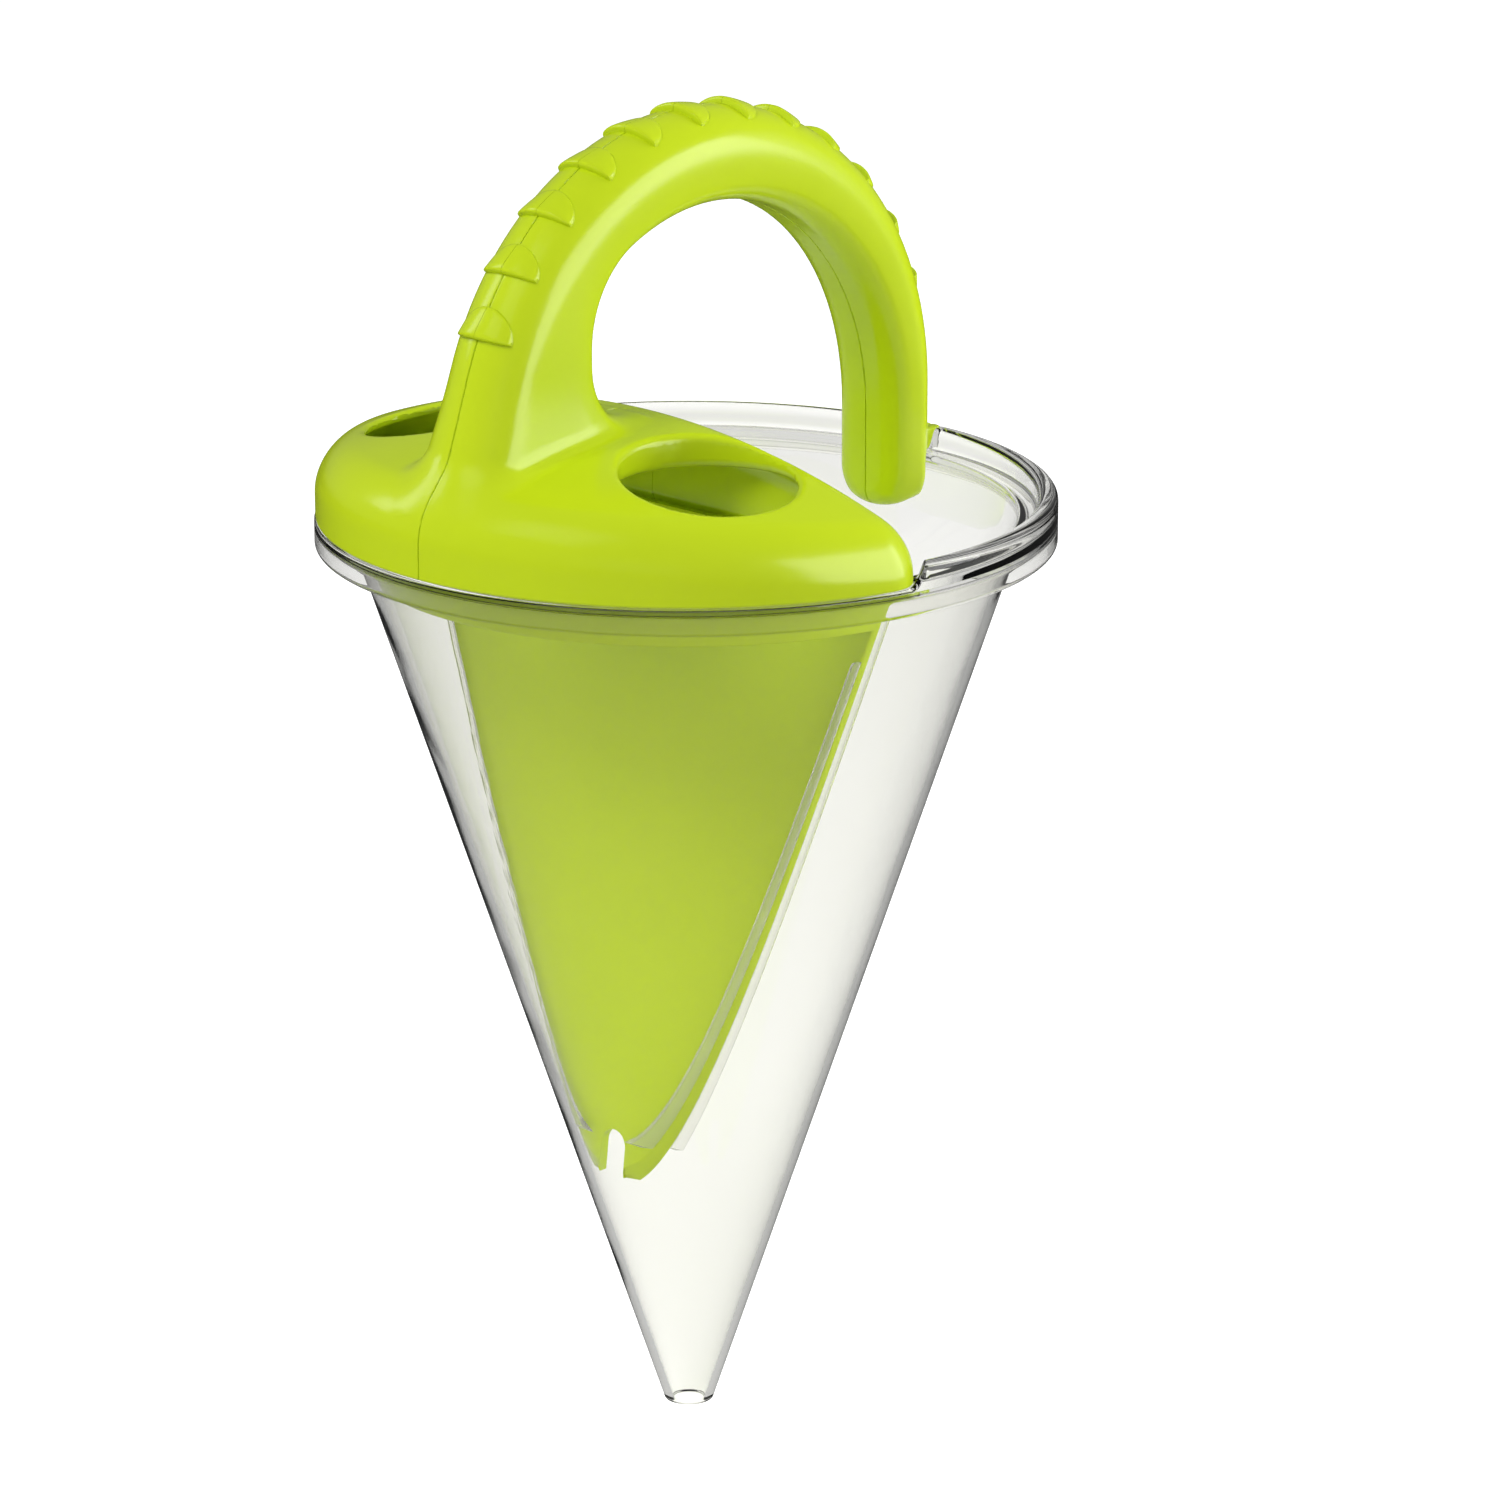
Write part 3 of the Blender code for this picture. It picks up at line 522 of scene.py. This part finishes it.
def partition_panel():
    """Leaning panel: rows across it at each height, out to the cone's wall with a small gap, on both faces.
    The two middle columns part round the drip slot, and the rim of the panel is rounded by drawing the
    faces' edges in."""
    low = panel_low()
    slot_turn = low + SLOT_HEIGHT - SLOT_WIDTH / 2
    heights = np.concatenate((np.linspace(low + 0.0006, slot_turn, 16)[:-1],
                              slot_turn + SLOT_WIDTH / 2 * np.sin(np.linspace(0, math.pi / 2, 12)),
                              np.linspace(low + SLOT_HEIGHT, COLLAR_TOP, 90)[1:]))[:, None]
    slot_rows = 15 + 11
    above = np.clip((heights - slot_turn) / (SLOT_WIDTH / 2), 0, 1)
    slot = SLOT_WIDTH / 2 * np.sqrt(1 - above ** 2)
    slot[slot_rows:] = 0
    wall = np.minimum(inner_radius(heights) - PANEL_EDGE_GAP, COLLAR_RADIUS)
    turns = np.linspace(math.pi / 2, -math.pi / 2, 9)
    flat = PANEL_THICKNESS / 2 - PANEL_ROUNDING
    edge = PANEL_ROUNDING * np.sin(turns) + flat * np.sign(np.round(turns, 6))
    front = np.concatenate(([0, 0.01], np.linspace(0.04, 0.96, 20), [0.99, 1]))
    share = np.concatenate((front, np.ones(len(edge) - 2), front[::-1]))
    offset = np.concatenate((np.full(len(front), edge[0]), edge[1:-1], np.full(len(front), edge[-1])))
    held = np.ones(len(front))
    draw = PANEL_ROUNDING * np.concatenate((held, 1 - np.cos(turns[1:-1]), held))
    rows, columns = len(heights), len(share)
    number = np.arange(rows * columns).reshape(rows, columns)
    walls = np.column_stack((number[:slot_rows, -1], number[1:slot_rows + 1, -1],
                             number[1:slot_rows + 1, 0], number[:slot_rows, 0]))
    parts = []
    for side in (-1, 1):
        x = panel_x(heights) - offset / math.cos(PANEL_LEAN)
        half = np.sqrt(np.maximum(wall ** 2 - x ** 2, slot ** 2)) - draw
        y = side * (slot + np.maximum(half - slot, 0.0002) * share)
        points = np.stack(np.broadcast_arrays(x, y, heights), axis=-1).reshape(-1, 3)
        faces = [*grid_faces(rows, columns), *walls, number[0], number[-1, ::-1]]
        parts.append((points, faces if side < 0 else [tuple(face)[::-1] for face in faces]))
    return parts


def collar_band():
    """Band round the tank's mouth: a rounded oblong section, tapered below with the cone, turned about Z
    from one edge of the partition to the other."""
    knee = (COLLAR_RADIUS + PANEL_EDGE_GAP - inner_radius(0)) / CONE_SLOPE
    low_radius = inner_radius(COLLAR_LOW) - PANEL_EDGE_GAP
    section = rounded_path([(low_radius - COLLAR_WALL / 2, COLLAR_LOW, 0), (low_radius, COLLAR_LOW, 0.0006),
                            (COLLAR_RADIUS, knee, 0.004), (COLLAR_RADIUS, COLLAR_TOP, 0.0006),
                            (COLLAR_RADIUS - COLLAR_WALL, COLLAR_TOP, 0.0006),
                            (COLLAR_RADIUS - COLLAR_WALL, knee, 0.004),
                            (low_radius - COLLAR_WALL, COLLAR_LOW, 0.0006),
                            (low_radius - COLLAR_WALL / 2, COLLAR_LOW, 0)], 5)[:-1]
    start = np.arccos((panel_x(section[:, 1]) - PANEL_THICKNESS / 4) / section[:, 0])
    turns = start + (2 * math.pi - 2 * start) * np.linspace(0, 1, 160)[:, None]
    rings = np.stack((section[:, 0] * np.cos(turns), section[:, 0] * np.sin(turns),
                      np.broadcast_to(section[:, 1], turns.shape)), axis=-1)
    return lofted(rings[:, ::-1])


def linear(hex_colour):
    """Linear red, green, blue and a full alpha from an sRGB hex colour."""
    value = np.array([int(hex_colour[i:i + 2], 16) / 255 for i in (1, 3, 5)])
    value = np.where(value <= 0.04045, value / 12.92, ((value + 0.055) / 1.055) ** 2.4)
    return (*map(float, value), 1.0)


def add_node(tree, kind, inputs=(), **settings):
    """Add a node with its settings; inputs are (socket, value) pairs, where a value that is a socket is
    linked."""
    made = tree.nodes.new(kind)
    for name, value in settings.items():
        setattr(made, name, value)
    for socket, value in inputs:
        if isinstance(value, bpy.types.NodeSocket):
            tree.links.new(value, made.inputs[socket])
        else:
            made.inputs[socket].default_value = value
    return made


def per_mm(size):
    """Noise scale whose features are about size millimetres across."""
    return 1000 / size


def moulded_polypropylene():
    """Lime green polypropylene, injection moulded: an even colour through and through with faint flow
    clouds some 40 mm across, a satin gloss that varies a little, and the soft orange peel of a polished
    mould."""
    material = bpy.data.materials.new("moulded_lime_polypropylene")
    material.use_nodes = True
    tree = material.node_tree
    shader = tree.nodes["Principled BSDF"]
    place = add_node(tree, "ShaderNodeTexCoord").outputs["Object"]
    clouds = add_node(tree, "ShaderNodeTexNoise", [("Vector", place), ("Scale", per_mm(40)), ("Detail", 3.0)])
    colour = add_node(tree, "ShaderNodeMix", [("Factor", clouds.outputs["Fac"]), ("A", linear("#BDD512")),
                                              ("B", linear("#C4DA1A"))], data_type="RGBA")
    gloss = add_node(tree, "ShaderNodeTexNoise", [("Vector", place), ("Scale", per_mm(12)), ("Detail", 4.0)])
    rough = add_node(tree, "ShaderNodeMapRange", [("Value", gloss.outputs["Fac"]), ("To Min", 0.17),
                                                  ("To Max", 0.24)])
    peel = add_node(tree, "ShaderNodeTexNoise", [("Vector", place), ("Scale", per_mm(1.5)), ("Detail", 2.0)])
    bump = add_node(tree, "ShaderNodeBump", [("Height", peel.outputs["Fac"]), ("Strength", 0.12),
                                             ("Distance", 0.0002)])
    tree.links.new(colour.outputs["Result"], shader.inputs["Base Color"])
    tree.links.new(rough.outputs["Result"], shader.inputs["Roughness"])
    tree.links.new(bump.outputs["Normal"], shader.inputs["Normal"])
    shader.inputs["IOR"].default_value = 1.49
    return material


def clear_styrene(name, haze, milk, bend):
    """Clear styrene plastic, injection moulded: glass clear with a faint grey-green cast, dark where it is
    seen edge on, and very slow ripples in the wall that bend what is seen through it. haze is the highest
    roughness, milk the share of light that the plastic scatters, and bend its index, set lower than the
    real one to match how pale its edges look. Lamps shine through it."""
    material = bpy.data.materials.new(name)
    material.use_nodes = True
    tree = material.node_tree
    shader = tree.nodes["Principled BSDF"]
    place = add_node(tree, "ShaderNodeTexCoord").outputs["Object"]
    clouds = add_node(tree, "ShaderNodeTexNoise", [("Vector", place), ("Scale", per_mm(60)), ("Detail", 2.0)])
    colour = add_node(tree, "ShaderNodeMix", [("Factor", clouds.outputs["Fac"]), ("A", linear("#FAFAF6")),
                                              ("B", linear("#FDFDFA"))], data_type="RGBA")
    breath = add_node(tree, "ShaderNodeTexNoise", [("Vector", place), ("Scale", per_mm(9)), ("Detail", 3.0)])
    rough = add_node(tree, "ShaderNodeMapRange", [("Value", breath.outputs["Fac"]), ("To Min", 0.0),
                                                  ("To Max", haze)])
    ripple = add_node(tree, "ShaderNodeTexNoise", [("Vector", place), ("Scale", per_mm(25)), ("Detail", 1.0)])
    bump = add_node(tree, "ShaderNodeBump", [("Height", ripple.outputs["Fac"]), ("Strength", 0.08),
                                             ("Distance", 0.002)])
    tree.links.new(colour.outputs["Result"], shader.inputs["Base Color"])
    tree.links.new(rough.outputs["Result"], shader.inputs["Roughness"])
    tree.links.new(bump.outputs["Normal"], shader.inputs["Normal"])
    shader.inputs["IOR"].default_value = bend
    shader.inputs["Transmission Weight"].default_value = 1 - milk
    passing = add_node(tree, "ShaderNodeBsdfTransparent", [("Color", linear("#F8F9F4"))])
    lamp_ray = add_node(tree, "ShaderNodeLightPath").outputs["Is Shadow Ray"]
    mixed = add_node(tree, "ShaderNodeMixShader", [(0, lamp_ray), (1, shader.outputs[0]),
                                                   (2, passing.outputs[0])])
    tree.links.new(mixed.outputs[0], tree.nodes["Material Output"].inputs["Surface"])
    return material


def ray_kinds(tree):
    """What has happened to the ray that sees the floor or the room: Light Path's outputs, then 1 where it
    came straight through the clear plastic, and 1 where it was mirrored on its way."""
    path = add_node(tree, "ShaderNodeLightPath").outputs
    through = add_node(tree, "ShaderNodeMath", [(0, path["Is Transmission Ray"]), (1, path["Glossy Depth"])],
                       operation="SUBTRACT", use_clamp=True).outputs[0]
    mirrored = add_node(tree, "ShaderNodeMath", [(0, path["Glossy Depth"]), (1, 1.0)],
                        operation="MINIMUM").outputs[0]
    return path, through, mirrored


def paper_floor():
    """White paper under the funnel that keeps its shadow. It shines a little for the camera and through the
    clear plastic, so that it is as white as the backdrop, and is dark in the gloss."""
    floor = bpy.data.materials.new("matt_white_paper")
    floor.use_nodes = True
    tree = floor.node_tree
    path, through, mirrored = ray_kinds(tree)
    level = add_node(tree, "ShaderNodeMath", [(0, path["Is Camera Ray"]), (1, 0.6)],
                     operation="MULTIPLY").outputs[0]
    level = add_node(tree, "ShaderNodeMath", [(0, through), (1, 0.2), (2, level)],
                     operation="MULTIPLY_ADD").outputs[0]
    within = add_node(tree, "ShaderNodeMath", [(0, path["Is Transmission Ray"]), (1, through)],
                      operation="SUBTRACT").outputs[0]
    level = add_node(tree, "ShaderNodeMath", [(0, within), (1, 0.6), (2, level)],
                     operation="MULTIPLY_ADD").outputs[0]
    paper = add_node(tree, "ShaderNodeMix", [("Factor", mirrored), ("A", linear("#EFEFEF")),
                                             ("B", linear("#424242"))], data_type="RGBA")
    shader = tree.nodes["Principled BSDF"]
    tree.links.new(paper.outputs["Result"], shader.inputs["Base Color"])
    shader.inputs["Roughness"].default_value = 0.9
    shader.inputs["Specular IOR Level"].default_value = 0.0
    shader.inputs["Emission Color"].default_value = linear("#FFFFFF")
    tree.links.new(level, shader.inputs["Emission Strength"])
    reach = 8.0
    mesh = bpy.data.meshes.new("floor")
    mesh.from_pydata([(-reach, -reach, 0), (reach, -reach, 0), (reach, reach, 0), (-reach, reach, 0)], [],
                     [(0, 1, 2, 3)])
    mesh.materials.append(floor)
    ground = bpy.data.objects.new("floor", mesh)
    bpy.context.scene.collection.objects.link(ground)


def white_room():
    """World round the funnel: white for the camera and through the clear plastic, dim where it is mirrored,
    and a plain fill elsewhere, a little more of it on what lies behind the plastic."""
    world = bpy.data.worlds.new("white_room")
    world.use_nodes = True
    bpy.context.scene.world = world
    tree = world.node_tree
    path, through, mirrored = ray_kinds(tree)
    scattered = add_node(tree, "ShaderNodeMath", [(0, path["Diffuse Depth"]), (1, 1.0)],
                         operation="MINIMUM").outputs[0]
    inside = add_node(tree, "ShaderNodeMix", [("Factor", scattered), ("A", 1.0), ("B", 1.5)]).outputs[0]
    room = add_node(tree, "ShaderNodeMix", [("Factor", path["Is Transmission Ray"]), ("A", 0.16),
                                            ("B", 0.75)]).outputs[0]
    outside = add_node(tree, "ShaderNodeMix", [("Factor", mirrored), ("A", 0.42), ("B", room)]).outputs[0]
    level = add_node(tree, "ShaderNodeMix", [("Factor", through), ("A", outside), ("B", inside)]).outputs[0]
    level = add_node(tree, "ShaderNodeMix", [("Factor", path["Is Camera Ray"]), ("A", level),
                                             ("B", 1.0)]).outputs[0]
    tree.links.new(level, tree.nodes["Background"].inputs["Strength"])
    tree.nodes["Background"].inputs["Color"].default_value = linear("#FFFFFF")


def soft_lamps():
    """Soft lamps that face the funnel: a key above the lid, weak ones in front and at the left, and at the
    right a wide one that only lights and a screen that only shows in the gloss. Each row is a name, a
    place, a width, a height, a power, whether it lights and whether it shows in the gloss."""
    middle = Vector((0, 0, 0.25))
    lamps = (("key_lamp", (-1.04, 0.12, 1.52), 0.8, 0.8, 15, True, False),
             ("front_lamp", (-1.35, -0.75, 0.55), 0.7, 0.5, 1.0, True, False),
             ("left_lamp", (-0.60, 1.28, 1.0), 0.4, 0.7, 2, True, True),
             ("right_lamp", (1.16, -0.81, 0.60), 0.9, 1.05, 20, True, False),
             ("right_screen", (0.48, -1.18, 0.61), 1.5, 1.06, 19, False, True))
    for name, place, width, tall, power, lights, shows in lamps:
        lamp = bpy.data.lights.new(name, "AREA")
        lamp.shape = "RECTANGLE"
        lamp.size = width
        lamp.size_y = tall
        lamp.energy = power
        made = bpy.data.objects.new(name, lamp)
        made.location = place
        made.rotation_euler = (middle - made.location).to_track_quat("-Z", "Y").to_euler()
        made.visible_diffuse = lights
        made.visible_glossy = shows
        made.visible_transmission = False
        bpy.context.scene.collection.objects.link(made)


def camera():
    """Camera at the photograph's place: 1.6 m from the middle of the rim, 15 degrees above it and 46
    degrees round, turned so that the rim's middle falls at its place in the picture."""
    frame_pixels, focal_pixels = 1500, 6416
    height, turn, distance = math.radians(15), math.radians(46), 1.6
    rim = Vector((0, 0, CONE_HEIGHT))
    outward = Vector((-math.cos(height) * math.sin(turn), -math.cos(height) * math.cos(turn),
                      math.sin(height)))
    right = Vector((0, 0, 1)).cross(outward).normalized()
    up = outward.cross(right)
    rim_pixel, middle_pixel = (687, 536), frame_pixels / 2
    across = (rim_pixel[0] - middle_pixel) / focal_pixels
    rise = (middle_pixel - rim_pixel[1]) / focal_pixels
    ahead = (-outward - across * right - rise * up).normalized()
    back = -ahead
    right = Vector((0, 0, 1)).cross(back).normalized()
    up = back.cross(right)
    lens = bpy.data.cameras.new("camera")
    lens.sensor_width = 36
    lens.lens = 36 * focal_pixels / frame_pixels
    lens.clip_end = 30
    made = bpy.data.objects.new("camera", lens)
    place = rim + distance * outward
    made.matrix_world = Matrix((right, up, back)).transposed().to_4x4()
    made.matrix_world.translation = place
    bpy.context.scene.collection.objects.link(made)
    bpy.context.scene.camera = made


def main():
    """Camera, floor, room and lamps, then the five pieces, which stand for the frame's four nodes."""
    bpy.context.scene.view_settings.view_transform = "Standard"
    camera()
    paper_floor()
    white_room()
    soft_lamps()
    green = moulded_polypropylene()
    clear = clear_styrene("clear_moulded_styrene", 0.02, 0.0, 1.45)
    dull = clear_styrene("thin_moulded_styrene", 0.1, 0.12, 1.25)
    cone = piece("clear_cone", [turned_cone()], clear, "funnel")
    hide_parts("funnel_body")
    near = PANEL_THICKNESS / 2 + RIB_GAP
    ribs = []
    for side in (-1, 1):
        ribs.append(guide_rib(side, near, near + RIB_WIDTH, BACK_RIB_TOP))
        ribs.append(guide_rib(side, -near, -near - RIB_WIDTH, FRONT_RIB_TOP))
    piece("guide_ribs", ribs, dull, "funnel")
    shell = [right_half(), *half_pads()]
    right = piece("lid_handle_right", shell, green, "insert")
    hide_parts("handle_shell_right")
    other = [other_side(part) for part in shell]
    left = piece("lid_handle_left", other, green, "insert")
    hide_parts("handle_shell_left")
    leaning = [*partition_panel(), collar_band()]
    panel = piece("partition_panel", leaning, green, "insert")
    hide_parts("tank_partition")


main()
